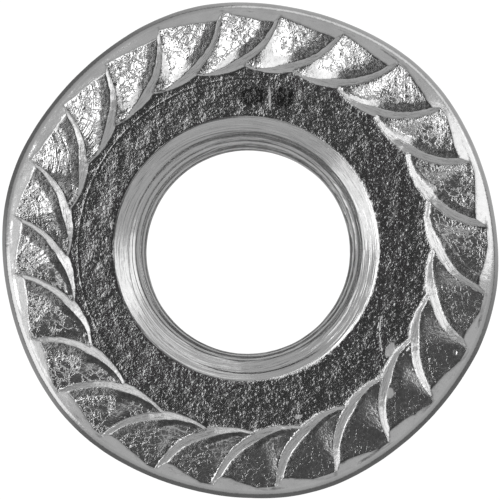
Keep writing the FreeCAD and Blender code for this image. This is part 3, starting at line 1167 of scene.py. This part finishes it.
@dataclass
class ThreadedBore:
    """Right-hand 3/8 in - 16 thread with a countersink at each end."""

    minor_radius: float = 3.93
    major_radius: float = 4.7625
    pitch: float = 1.5875
    start_height: float = 8.472
    root_half: float = 0.1
    crest_half: float = 0.2
    top: float = 8.315
    mouth_radius: float = 5.03
    edge_break: float = 0.03
    end_share: float = 0.7
    chamfer_slope: float = 30.0
    throat_radius: float = 4.42
    throat_swing: float = 0.065
    throat_bearing: float = 70.0
    throat_slope: float = 53.0
    lead_radius: float = 4.25
    lead_slope: float = 84.0
    centre_x: float = -0.16
    centre_y: float = 0.05
    columns: int = 240
    fine_from: float = 6.5
    fine_rows: int = 32
    mouth_from: float = 7.85
    mouth_rows: int = 96
    blend: float = 0.03
    corner_blend: float = 0.08
    cone_blend: float = 0.025
    turns: tuple[int, int] = (-2, 9)
    thread_waves: tuple[Wave, ...] = (Wave(0.01, 14.0, 0.05, 31), Wave(0.008, 4.0, 0.09, 32))
    cone_waves: tuple[Wave, ...] = (Wave(0.006, 40.0, 0.035, 33), Wave(0.005, 17.0, 0.06, 34))
    coarse_rows: tuple[float, ...] = (
        -0.66, -0.58, -0.45, -0.31, -0.17, -0.09, 0.0, 0.09, 0.17, 0.31, 0.45, 0.58, 0.66, 0.79375,
    )

    def angles(self) -> Array:
        """Angle of each column of points."""
        return even_angles(self.columns)

    def mouth(self) -> Array:
        """Loop where either countersink meets the face beside it, as rows of x and y."""
        loop = polar(np.full(self.columns, self.mouth_radius + self.edge_break), self.angles())
        return loop + np.array([self.centre_x, self.centre_y])

    def reach(self, angle: Array, height: Array) -> Array:
        """Distance of the surface from the bore's axis.

        Args:
            angle: Angles about the axis.
            height: Heights over the nut's foot.

        Returns:
            The distance at each point.
        """
        groove = self.start_height + self.pitch * angle / 360.0
        off = np.abs((height - groove + self.pitch / 2.0) % self.pitch - self.pitch / 2.0)
        run = self.pitch / 2.0 - self.root_half - self.crest_half
        share = smooth_max((off - self.root_half) / run, np.zeros_like(off), self.corner_blend)
        share = smooth_min(share, np.ones_like(off), self.corner_blend)
        thread = self.major_radius - (self.major_radius - self.minor_radius) * share
        thread = thread + relief(self.thread_waves, angle, height - self.pitch * angle / 360.0)
        slopes = (self.chamfer_slope, self.throat_slope, self.lead_slope)
        chamfer, throat, lead = (1.0 / math.tan(math.radians(slope)) for slope in slopes)
        throat_radius = self.throat_radius + self.throat_swing * np.cos(np.radians(angle - self.throat_bearing))
        throat_depth = (self.mouth_radius - throat_radius) / chamfer
        lead_depth = throat_depth + (throat_radius - self.lead_radius) / throat
        depth = np.minimum(self.top - height, height)
        past_throat = throat_radius - (depth - throat_depth) * throat
        cone = smooth_max(self.mouth_radius - depth * chamfer, past_throat, self.cone_blend)
        cone = smooth_max(cone, self.lead_radius - (depth - lead_depth) * lead, self.cone_blend)
        return smooth_max(thread, cone + relief(self.cone_waves, angle, depth), self.blend)

    def build(self, skin: Skin, mouth: Array) -> Array:
        """Adds the bore to the mesh.

        Args:
            skin: The mesh under way.
            mouth: Point indices of the loop at the top.

        Returns:
            Point indices of the loop at the bottom.
        """
        bottom_flat = self.mouth()
        bottom = skin.add_points(bottom_flat[:, 0], bottom_flat[:, 1], np.zeros(self.columns))
        lines = []
        turns = np.arange(*self.turns)[:, None] * self.pitch
        fine, finest = (turns + np.arange(rows) * self.pitch / rows for rows in (self.fine_rows, self.mouth_rows))
        bands = (
            (turns + np.array(self.coarse_rows), self.edge_break, self.fine_from),
            (fine, self.fine_from, self.mouth_from),
            (finest, self.mouth_from, self.top - self.edge_break),
        )
        ends = (self.edge_break * self.end_share, self.top - self.edge_break * self.end_share)
        for column, angle in enumerate(self.angles()):
            rows = [band.ravel() + self.pitch * angle / 360.0 for band, _low, _high in bands]
            rows = [row[(row >= low) & (row < high)] for row, (_band, low, high) in zip(rows, bands)]
            heights = np.unique(np.round(np.concatenate([ends, *rows]), 6))
            radius = self.reach(np.full(len(heights), angle), heights)
            turn = math.radians(angle)
            index = skin.add_points(
                self.centre_x + radius * math.cos(turn), self.centre_y + radius * math.sin(turn), heights
            )
            keys = [0.0, *heights, self.top]
            lines.append(([int(bottom[column]), *index.tolist(), int(mouth[column])], keys))
        for column in range(self.columns):
            one, one_keys = lines[column]
            other, other_keys = lines[(column + 1) % self.columns]
            skin.zip_lines(one, one_keys, other, other_keys, Zone.TAPPED)
        return bottom


@dataclass
class Body:
    """Rim, conical back and hexagon."""

    outline: RimOutline = field(default_factory=RimOutline)
    land: Land = Land()
    rim_thickness: float = 1.4
    rim_face_radius: float = 0.46
    rim_back_radius: float = 0.45
    back_angle: float = 25.0
    across_flats: float = 14.15
    corner_radius: float = 0.35
    chamfer_circle: float = 6.7
    chamfer_angle: float = 30.0
    root_radius: float = 0.4
    edge_radius: float = 0.09
    columns: int = 360
    corner_crowding: float = 0.6
    end_radius: float = 5.35
    spans: tuple[int, ...] = (1, 3, 5, 6, 3, 3)
    settle_rows: float = 4.0
    dent_waves: tuple[Wave, ...] = (Wave(0.006, 8.0, 0.9, 41), Wave(0.003, 2.0, 0.5, 42))
    zone: Zone = Zone.FORGED

    def angles(self) -> Array:
        """Angle of each column of points.

        Returns:
            The angles, closer together at the hexagon's corners.
        """
        even, corners = even_angles(self.columns), self.outline.lobes
        swing = self.corner_crowding * np.degrees(1.0 / corners)
        return even - swing * np.sin(np.radians(corners * (even - self.outline.first_lobe)))

    def edge(self) -> Array:
        """Loop on the land where the serrated face begins, as rows of x and y."""
        angle = self.angles()
        return polar(self.outline.reach(angle) - self.land.edge_inset, angle)

    def hexagon(self, angle: Array) -> Array:
        """Distance of the hexagon's side from the axis.

        Args:
            angle: Angles about the axis.

        Returns:
            The distance at each angle.
        """
        half, turn = self.across_flats / 2.0, math.radians(self.outline.half_turn)
        flat = half / np.cos(np.radians(self.outline.from_side(angle)))
        corner = (half - self.corner_radius) / math.cos(turn)
        off = np.radians(self.outline.from_lobe(angle))
        rounded = corner * np.cos(off) + np.sqrt(np.maximum(self.corner_radius**2 - (corner * np.sin(off)) ** 2, 0.0))
        corner_end = math.atan2(self.corner_radius * math.sin(turn), corner + self.corner_radius * math.cos(turn))
        return np.where(np.abs(off) < corner_end, rounded, flat)

    def arc(self, before: Array, corner: Array, after: Array, radius: float, steps: int) -> list[Array]:
        """Rounds a corner of the section in every column.

        Args:
            before: Distance and height of a point before the corner, in each column.
            corner: The corner.
            after: A point after it.
            radius: Radius of the rounding.
            steps: Number of spans in it.

        Returns:
            Rows of the rounding, each with a distance and a height in every column.
        """
        back, ahead = unit(before - corner), unit(after - corner)
        half = np.arccos(np.clip(np.sum(back * ahead, axis=1), -1.0, 1.0)) / 2.0
        setback = (radius / np.tan(half))[:, None]
        centre = corner + unit(back + ahead) * (radius / np.sin(half))[:, None]
        start, end = corner + back * setback - centre, corner + ahead * setback - centre
        sweep = math.pi - 2.0 * half
        rows = []
        for step in range(steps + 1):
            share = step / steps
            one = np.sin((1.0 - share) * sweep) / np.sin(sweep)
            other = np.sin(share * sweep) / np.sin(sweep)
            rows.append(centre + start * one[:, None] + end * other[:, None])
        return rows

    def section(self, angle: Array) -> list[Array]:
        """Works out the body's outline in every column, from the land round the rim to the end of the hexagon.

        Args:
            angle: Angle of each column.

        Returns:
            Rows of the outline, each with a distance and a height in every column.
        """
        reach, side = self.outline.reach(angle), self.hexagon(angle)
        slope, back, chamfer = (
            math.tan(math.radians(lean)) for lean in (self.land.angle, self.back_angle, self.chamfer_angle)
        )
        rim_top = self.land.top - self.land.width * slope
        rim_bottom = rim_top - self.rim_thickness
        corners = [
            (reach, rim_top, self.rim_face_radius, 6),
            (reach, rim_bottom, self.rim_back_radius, 6),
            (side, rim_bottom - (reach - side) * back, self.root_radius, 6),
            (side, (side - self.chamfer_circle) * chamfer, self.edge_radius, 3),
            (self.chamfer_circle, 0.0, self.edge_radius, 3),
        ]
        path = [(reach - self.land.edge_inset, rim_top + self.land.edge_inset * slope)]
        path += [(distance, height) for distance, height, _radius, _steps in corners]
        path += [(self.end_radius, 0.0)]
        path = [np.stack([place * np.ones_like(angle) for place in corner], axis=1) for corner in path]
        rows = []
        previous = path[0]
        for index, (_distance, _height, radius, steps) in enumerate(corners):
            bend = self.arc(*path[index:index + 3], radius, steps)
            for step in range(1, self.spans[index]):
                rows.append(previous + (bend[0] - previous) * (step / self.spans[index]))
            rows.extend(bend)
            previous = bend[-1]
        for step in range(1, self.spans[-1] + 1):
            rows.append(previous + (path[-1] - previous) * (step / self.spans[-1]))
        return rows

    def build(self, skin: Skin, edge: Array, mouth: Array, bore: tuple[float, float]) -> None:
        """Adds the body to the mesh, from the land round the rim and the hexagon to the bore's lower mouth.

        Args:
            skin: The mesh under way.
            edge: Point indices of the loop on the land.
            mouth: Point indices of the bore's lower mouth.
            bore: Place of the bore's axis.
        """
        angle = self.angles()
        loop = edge
        rows = self.section(angle)
        for number, row in enumerate(rows):
            distance, height = row[:, 0], row[:, 1]
            settle = min(1.0, number / self.settle_rows, (len(rows) - 1 - number) / self.settle_rows)
            place = polar(distance + relief(self.dent_waves, angle, height) * settle, angle)
            following = skin.add_points(place[:, 0], place[:, 1], np.maximum(height, 0.0))
            skin.join_loops(loop, following, self.zone)
            loop = following
        points = np.concatenate(skin.points)
        keys = []
        for ring in (loop, mouth):
            turns = np.degrees(np.arctan2(points[ring, 1] - bore[1], points[ring, 0] - bore[0])) % 360.0
            order = np.argsort(turns)
            ring_sorted = ring[order].tolist()
            keys.append((ring_sorted + ring_sorted[:1], turns[order].tolist() + [turns[order][0] + 360.0]))
        skin.zip_lines(keys[0][0], keys[0][1], keys[1][0], keys[1][1], self.zone)


def linear(code: str) -> tuple[float, float, float, float]:
    """Turns an sRGB hex colour to linear light.

    Args:
        code: Six hex digits.

    Returns:
        Red, green, blue and an alpha of 1.
    """
    parts = [int(code[place:place + 2], 16) / 255.0 for place in (0, 2, 4)]
    return (*[part / 12.92 if part <= 0.04045 else ((part + 0.055) / 1.055) ** 2.4 for part in parts], 1.0)


def per_metre(size: float) -> float:
    """Scale of a pattern whose cells are so many millimetres wide."""
    return 1.0 / (size * MM)


def add_node(tree: NodeTree, kind: str, **values: object) -> Node:
    """Adds a shader node with its settings and links.

    Args:
        tree: The node tree.
        kind: Type name of the node, without ShaderNode in front.
        values: First the settings, in small letters, then a value, a socket or a node for each input, by its
            capitalised name or as i0, i1 by its place. A node stands for its first enabled output.

    Returns:
        The new node.
    """
    node = tree.nodes.new("ShaderNode" + kind)
    for name, value in values.items():
        placed = name[0] == "i" and name[1:].isdigit()
        if not placed and name[0].islower():
            setattr(node, name, value)
            continue
        socket = node.inputs[int(name[1:]) if placed else name.replace("_", " ")]
        if isinstance(value, Node):
            value = next(output for output in value.outputs if output.enabled)
        if isinstance(value, NodeSocket):
            tree.links.new(value, socket)
        else:
            socket.default_value = value
    return node


def cleared(owner: Material | World) -> NodeTree:
    """Turns nodes on for a material or a world and removes the default ones.

    Args:
        owner: The material or world.

    Returns:
        Its empty node tree.
    """
    owner.use_nodes = True
    owner.node_tree.nodes.clear()
    return owner.node_tree


@dataclass(frozen=True)
class ZincFinish:
    """Bright zinc plate over steel, whose grain tells how the steel beneath was worked."""

    name: str
    colour: str
    shade: str
    roughness_low: float
    roughness_high: float
    grain: float
    grain_height: float
    fine: float
    fine_height: float
    grain_swing: float = 0.3
    ring_spacing: float = 0.0
    ring_height: float = 0.0
    stroke_spacing: float = 0.0
    stroke_height: float = 0.0
    stroke_stretch: float = 0.14
    stroke_by_tooth: bool = False
    speck: float = 0.0
    speck_height: float = 0.0
    patch: float = 0.0
    patch_height: float = 0.0
    crack: float = 0.0
    crack_height: float = 0.0
    # Colour of the painted shade in the creases and of the dark patches on the recess floor
    crease_shade_and_dark_patches: str = "505050"
    stain: str = "b4b4b4"
    stain_roughness: float = 0.5
    cloud_ratio: float = 6.0
    cloud_band: tuple[float, float] = (0.36, 0.62)
    grain_band: tuple[float, float] = (0.3, 0.7)
    crack_sway: tuple[float, float] = (3.0, 0.7)
    crack_edge: float = 0.09
    whole_band: tuple[float, float] = (0.48, 0.64)
    speck_band: tuple[float, float] = (0.63, 0.75)
    ring_drift: float = 0.06

    def cracks(self, tree: NodeTree, place: NodeSocket, clouds: Node, grain: Node) -> Node:
        """Adds the crazed skin: winding cracks between flat cells, missing where the clouds are bright.

        Args:
            tree: The node tree.
            place: Socket of the place on the nut.
            clouds: Node of the broad noise.
            grain: Node of the grain.

        Returns:
            Node whose value is low in the cracks, times the strength of the tooth.
        """
        where = place
        for noise, reach in zip((clouds, grain), self.crack_sway):
            sway = add_node(
                tree, "VectorMath", operation="SCALE", i0=noise.outputs["Color"], Scale=self.crack * reach * MM
            )
            where = add_node(tree, "VectorMath", operation="ADD", i0=where, i1=sway)
        cells = add_node(tree, "TexVoronoi", feature="DISTANCE_TO_EDGE", Vector=where, Scale=per_metre(self.crack))
        edge = add_node(tree, "MapRange", interpolation_type="SMOOTHSTEP", Value=cells, From_Max=self.crack_edge)
        low, high = self.whole_band
        whole = add_node(
            tree, "MapRange", interpolation_type="SMOOTHSTEP", Value=clouds, From_Min=low, From_Max=high
        )
        cracked = add_node(tree, "Math", operation="MAXIMUM", i0=edge, i1=whole)
        strength = add_node(tree, "Attribute", attribute_name="cracks").outputs["Fac"]
        return add_node(tree, "Math", operation="MULTIPLY", i0=cracked, i1=strength)

    def strokes(self, tree: NodeTree) -> Node:
        """Adds the lines that the punch drew along the curve of each flank.

        Args:
            tree: The node tree.

        Returns:
            Node of their height.
        """
        strokes = add_node(tree, "Attribute", attribute_name="strokes").outputs["Vector"]
        stretch = (1.0 / self.stroke_spacing, self.stroke_stretch / self.stroke_spacing, 1.0)
        where = add_node(tree, "VectorMath", operation="MULTIPLY", i0=strokes, i1=stretch)
        lines = add_node(tree, "TexNoise", Vector=where, Scale=1.0, Detail=2.0, Distortion=0.3)
        if self.stroke_by_tooth:
            strength = add_node(tree, "Attribute", attribute_name="arcs").outputs["Fac"]
            lines = add_node(tree, "Math", operation="MULTIPLY", i0=lines, i1=strength)
        return lines

    def rings(self, tree: NodeTree, place: NodeSocket) -> Node:
        """Adds the rings that the tool cut round the bore, which wander a little.

        Args:
            tree: The node tree.
            place: Socket of the place on the nut.

        Returns:
            Node of their height.
        """
        parts = add_node(tree, "SeparateXYZ", Vector=place)
        flat = add_node(tree, "CombineXYZ", X=parts.outputs["X"], Y=parts.outputs["Y"])
        reach = add_node(tree, "VectorMath", operation="LENGTH", i0=flat)
        drift = add_node(tree, "VectorMath", operation="SCALE", i0=place, Scale=self.ring_drift)
        ring = add_node(tree, "CombineXYZ", X=reach, Y=parts.outputs["Z"])
        where = add_node(tree, "VectorMath", operation="ADD", i0=ring, i1=drift)
        return add_node(tree, "TexNoise", Vector=where, Scale=per_metre(self.ring_spacing), Detail=2.0)

    def specks(self, tree: NodeTree, place: NodeSocket) -> Node:
        """Adds sparse small peaks.

        Args:
            tree: The node tree.
            place: Socket of the place on the nut.

        Returns:
            Node of their height.
        """
        dots = add_node(tree, "TexNoise", Vector=place, Scale=per_metre(self.speck), Detail=1.0)
        low, high = self.speck_band
        return add_node(tree, "MapRange", Value=dots, From_Min=low, From_Max=high)

    def material(self) -> Material:
        """Makes the material.

        Returns:
            A metal whose colour, roughness and bump vary at the sizes given here.
        """
        material = bpy.data.materials.new(self.name)
        tree = cleared(material)
        place = add_node(tree, "TexCoord").outputs["Object"]
        broad = per_metre(self.grain * self.cloud_ratio)
        clouds = add_node(tree, "TexNoise", Vector=place, Scale=broad, Detail=3.0, Roughness=0.6)
        grain = add_node(tree, "TexNoise", Vector=place, Scale=per_metre(self.grain), Detail=2.0, Roughness=0.55)
        fine = add_node(tree, "TexNoise", Vector=place, Scale=per_metre(self.fine), Detail=1.0)
        reliefs = [(fine, self.fine_height)]
        if self.crack_height > 0.0:
            reliefs.append((self.cracks(tree, place, clouds, grain), self.crack_height))
        if self.speck_height > 0.0:
            reliefs.append((self.specks(tree, place), self.speck_height))
        if self.patch_height > 0.0:
            swells = add_node(tree, "TexNoise", Vector=place, Scale=per_metre(self.patch), Detail=3.0)
            reliefs.append((swells, self.patch_height))
        if self.stroke_height > 0.0:
            reliefs.append((self.strokes(tree), self.stroke_height))
        if self.ring_height > 0.0:
            reliefs.append((self.rings(tree, place), self.ring_height))
        low, high = self.cloud_band
        strength = add_node(
            tree, "MapRange", Value=clouds, From_Min=low, From_Max=high, To_Min=1.0 - self.grain_swing, To_Max=1.0
        )
        bump = add_node(tree, "Bump", Height=grain, Strength=strength, Distance=self.grain_height * MM)
        for height, distance in reliefs:
            bump = add_node(tree, "Bump", Height=height, Strength=1.0, Distance=distance * MM, Normal=bump)
        tint = add_node(tree, "Mix", data_type="RGBA", Factor=clouds, i6=linear(self.colour), i7=linear(self.shade))
        # Painted shade in the creases, and the dark patches on the recess floor, mixed in toward that colour
        crease_shade_and_dark_patches = add_node(tree, "Attribute", attribute_name="crease_shade_and_dark_patches").outputs["Fac"]
        tint = add_node(tree, "Mix", data_type="RGBA", Factor=crease_shade_and_dark_patches, i6=tint, i7=linear(self.crease_shade_and_dark_patches))
        stain = add_node(tree, "Attribute", attribute_name="stain").outputs["Fac"]
        tint = add_node(tree, "Mix", data_type="RGBA", Factor=stain, i6=tint, i7=linear(self.stain))
        low, high = self.grain_band
        rough = add_node(
            tree, "MapRange", Value=grain, From_Min=low, From_Max=high,
            To_Min=self.roughness_low, To_Max=self.roughness_high,
        )
        rough = add_node(tree, "MapRange", Value=stain, To_Min=rough, To_Max=self.stain_roughness)
        metal = add_node(tree, "BsdfPrincipled", Base_Color=tint, Metallic=1.0, Roughness=rough, Normal=bump)
        add_node(tree, "OutputMaterial", Surface=metal)
        return material


FINISHES: dict[Zone, ZincFinish] = {
    # Land, rim and hexagon, as the forging die left them: smooth and satin, so the eye sees soft, even greys with a
    # faint mottle.
    Zone.FORGED: ZincFinish(
        "forged_zinc_plated_steel", "cccccc", "b4b4b4", 0.1, 0.2, 0.12, 0.0045, 0.05, 0.0014
    ),
    # Ramps that the punch struck: a crazed, wrinkled skin, which breaks the light into white facets between thin dark
    # cracks. The real wrinkles are finer than a pixel, and the finest here are coarser, at 0.06 mm.
    Zone.COINED: ZincFinish(
        "coined_zinc_plated_steel", "cecece", "b4b4b4", 0.13, 0.22, 0.12, 0.0042, 0.06, 0.0054,
        stroke_spacing=0.12, stroke_height=0.029, stroke_stretch=0.06, stroke_by_tooth=True,
        crack=0.34, crack_height=0.022,
    ),
    # Steep flanks that the punch sheared: drawn lines along each curve, so the flank is a clean streaked band.
    Zone.FLANK: ZincFinish(
        "sheared_zinc_plated_steel", "d4d4d4", "bababa", 0.14, 0.26, 0.12, 0.007, 0.05, 0.003,
        stroke_spacing=0.06, stroke_height=0.013,
    ),
    # Strips along the crests, pressed flat and dull: each is a dark band between its ramp and its flank.
    Zone.CREST: ZincFinish(
        "pressed_flat_zinc_plated_steel", "aeaeae", "848484", 0.18, 0.3, 0.11, 0.006, 0.06, 0.002,
        patch=0.3, patch_height=0.012,
    ),
    # Floor of the recess, grained by the die: almost black from above, with a dense sparkle of small bright points.
    # The real grain is finer than a pixel and is drawn coarser here, at 0.1 mm.
    Zone.RECESS: ZincFinish(
        "grained_zinc_plated_steel", "acacac", "7a7a7a", 0.13, 0.21, 0.1, 0.0085, 0.042, 0.0036,
        grain_swing=0.7, speck=0.1, speck_height=0.005, patch=0.6, patch_height=0.035,
    ),
    # Countersinks, lead and thread, cut by the tool: rings round the bore, which the eye sees as fine light and dark
    # lines.
    Zone.TAPPED: ZincFinish(
        "tapped_zinc_plated_steel", "cbcbcb", "bababa", 0.14, 0.26, 0.12, 0.002, 0.05, 0.0006,
        ring_spacing=0.075, ring_height=0.025,
    ),
}


@dataclass
class FlangeNut:
    """The nut: its face, its bore and its body in one closed mesh."""

    name: str = "serrated_flange_nut"
    node: str = "flange_nut"
    slot: str = "zinc_plated_steel"
    face: FaceMesh = field(default_factory=FaceMesh)
    bore: ThreadedBore = field(default_factory=ThreadedBore)
    body: Body = field(default_factory=Body)

    def build(self) -> Object:
        """Builds the nut, dresses it and puts it in the place of the solid one.

        Returns:
            The nut's object.
        """
        skin = Skin()
        edge, mouth = self.face.build(skin, self.body.edge(), self.bore.mouth())
        bottom = self.bore.build(skin, mouth)
        self.body.build(skin, edge, bottom, (self.bore.centre_x, self.bore.centre_y))
        nut = skin.to_object(self.name, {zone: finish.material() for zone, finish in FINISHES.items()})
        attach(nut, "root")
        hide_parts(self.node)
        return nut


@dataclass(frozen=True)
class Softbox:
    """Flat lamp that faces the nut, placed by where the nut sees it."""

    name: str
    bearing: float
    from_zenith: float
    distance: float
    width: float
    height: float
    radiance: float

    def build(self) -> None:
        """Adds the lamp, with the power that gives its radiance."""
        lamp = bpy.data.lights.new(self.name, "AREA")
        lamp.shape = "RECTANGLE"
        lamp.size, lamp.size_y = self.width, self.height
        lamp.energy = self.radiance * math.pi * self.width * self.height
        holder = bpy.data.objects.new(self.name, lamp)
        spot = direction(self.from_zenith, self.bearing)
        holder.location = spot * self.distance
        holder.rotation_euler = spot.to_track_quat("Z", "Y").to_euler()
        holder.visible_camera = False
        bpy.context.scene.collection.objects.link(holder)


@dataclass
class Studio:
    """Pale floor, soft lamps, surroundings and the camera over the bearing face.

    Each pool of light that the metal sees on the floor has a bearing, half its width and its strength. The room is
    given as angles from the zenith, falling, each with its brightness.
    """

    floor_half: float = 1.6
    floor_drop: float = 0.01
    floor_gloss: float = 0.02
    pools: tuple[tuple[float, float, float], ...] = ((52.0, 55.0, 0.5), (-164.0, 22.0, 0.3))
    # Painted pool of light on the floor under the bore, seen only in the metal's reflections, which brightens the
    # inside of the bore
    bore_pool_glow: float = 0.5
    bore_reach: float = 5.0
    bore_fade: float = 1.0
    floor_white: float = 1.13
    floor_paper: str = "808080"
    floor_glow: float = 0.92
    room: tuple[tuple[float, float], ...] = (
        (90.0, 0.12), (83.0, 0.34), (78.0, 0.54), (60.0, 0.58), (42.0, 0.72),
        (34.0, 0.21), (20.0, 0.11), (8.0, 0.075), (0.0, 0.07),
    )
    lens: float = 454.0
    sensor: float = 36.0
    target: tuple[float, float, float] = (0.0, 0.0, 8.1)
    camera_distance: float = 240.0
    camera_bearing: float = -57.0
    camera_from_zenith: float = 2.2
    lamps: tuple[Softbox, ...] = (
        Softbox("key_softbox", 163.0, 24.6, 0.62, 0.44, 0.31, 2.9),
        Softbox("fill_softbox", 184.0, 46.0, 0.7, 0.5, 0.2, 0.26),
        Softbox("side_softbox", 18.0, 56.0, 0.62, 0.3, 0.4, 1.05),
        Softbox("front_softbox", -160.0, 65.0, 0.62, 0.42, 0.34, 1.0),
        Softbox("back_softbox", 55.0, 76.0, 0.62, 0.95, 0.26, 0.7),
    )

    def background(self, tree: NodeTree) -> Node:
        """Adds the nodes that tell rays that show the background.

        Args:
            tree: The node tree.

        Returns:
            Node whose value is 1 for camera and transmission rays, and for glossy ones a low level with painted pools
            of light on the floor, one of them under the bore.
        """
        path = add_node(tree, "LightPath").outputs
        place = add_node(tree, "TexCoord").outputs["Object"]
        heading = add_node(tree, "VectorMath", operation="NORMALIZE", i0=place)
        level = self.floor_gloss
        for bearing, half_width, gain in self.pools:
            toward = direction(90.0, bearing)
            facing = add_node(tree, "VectorMath", operation="DOT_PRODUCT", i0=heading, i1=toward)
            low, high = (math.cos(math.radians(half_width * share)) for share in (1.5, 0.5))
            pool = add_node(
                tree, "MapRange", interpolation_type="SMOOTHSTEP", Value=facing, From_Min=low, From_Max=high,
                To_Max=gain,
            )
            level = add_node(tree, "Math", operation="ADD", i0=pool, i1=level)
        # Painted pool of light on the floor under the bore, for glossy rays only
        away = add_node(tree, "VectorMath", operation="LENGTH", i0=place)
        bore_pool = add_node(
            tree, "MapRange", interpolation_type="SMOOTHSTEP", Value=away,
            From_Min=(self.bore_reach + self.bore_fade) * MM, From_Max=self.bore_reach * MM, To_Max=self.bore_pool_glow,
        )
        level = add_node(tree, "Math", operation="MAXIMUM", i0=bore_pool, i1=level)
        glossy = add_node(tree, "Math", operation="MULTIPLY", i0=path["Is Glossy Ray"], i1=level)
        shown = add_node(tree, "Math", operation="MAXIMUM", i0=path["Is Camera Ray"], i1=glossy)
        return add_node(tree, "Math", operation="MAXIMUM", i0=shown, i1=path["Is Transmission Ray"])

    def build_floor(self) -> None:
        """Adds the floor, pale and with the nut's soft shadow."""
        reach, level = self.floor_half, -self.floor_drop * MM
        mesh = bpy.data.meshes.new("studio_floor")
        corners = [(-reach, -reach, level), (reach, -reach, level), (reach, reach, level), (-reach, reach, level)]
        mesh.from_pydata(corners, [], [(0, 1, 2, 3)])
        floor = bpy.data.objects.new("studio_floor", mesh)
        bpy.context.scene.collection.objects.link(floor)
        material = bpy.data.materials.new("pale_paper_sweep")
        tree = cleared(material)
        paper = add_node(tree, "BsdfDiffuse", Color=linear(self.floor_paper))
        glow = add_node(tree, "Emission", Color=linear("ffffff"), Strength=self.floor_white)
        share = add_node(tree, "Math", operation="MULTIPLY", i0=self.background(tree), i1=self.floor_glow)
        mixed = add_node(tree, "MixShader", i0=share, i1=paper, i2=glow)
        add_node(tree, "OutputMaterial", Surface=mixed)
        mesh.materials.append(material)

    def build_world(self) -> None:
        """Makes the surroundings: white for the camera, and for the metal a room with a dark ceiling."""
        world = bpy.data.worlds.new("studio_room")
        bpy.context.scene.world = world
        tree = cleared(world)
        parts = add_node(tree, "SeparateXYZ", Vector=add_node(tree, "TexCoord").outputs["Generated"])
        ramp = add_node(tree, "ValToRGB", Fac=parts.outputs["Z"])
        elements = ramp.color_ramp.elements
        while len(elements) < len(self.room):
            elements.new(0.5)
        for element, (from_zenith, level) in zip(elements, self.room):
            element.position = math.cos(math.radians(from_zenith))
            element.color = (level, level, level, 1.0)
        room = add_node(tree, "Background", Color=ramp, Strength=1.0)
        white = add_node(tree, "Background", Color=linear("ffffff"), Strength=1.0)
        shown = add_node(tree, "LightPath").outputs["Is Camera Ray"]
        add_node(tree, "OutputWorld", Surface=add_node(tree, "MixShader", i0=shown, i1=room, i2=white))

    def build_camera(self) -> None:
        """Adds the camera, almost straight over the bearing face."""
        scene = bpy.context.scene
        data = bpy.data.cameras.new("camera")
        data.lens, data.sensor_width = self.lens, self.sensor
        data.clip_start, data.clip_end = 0.01, 10.0
        camera = bpy.data.objects.new("camera", data)
        spot = direction(self.camera_from_zenith, self.camera_bearing)
        camera.location = Vector(self.target) * MM + spot * (self.camera_distance * MM)
        side = Vector((1.0, 0.0, 0.0))
        side = (side - spot * side.dot(spot)).normalized()
        rise = spot.cross(side)
        camera.rotation_mode = "QUATERNION"
        axes = (side, rise, spot)
        camera.rotation_quaternion = Matrix([[axis[row] for axis in axes] for row in range(3)]).to_quaternion()
        scene.collection.objects.link(camera)
        scene.camera = camera
        scene.view_settings.view_transform = "Standard"

    def build(self) -> None:
        """Builds the whole studio."""
        self.build_camera()
        self.build_floor()
        self.build_world()
        for lamp in self.lamps:
            lamp.build()


def main() -> None:
    """Builds the nut and the studio."""
    logging.basicConfig(level=logging.INFO, format="%(message)s")
    nut = FlangeNut().build()
    log.info("built %s", nut.name)
    Studio().build()


if __name__ == "__main__":
    main()
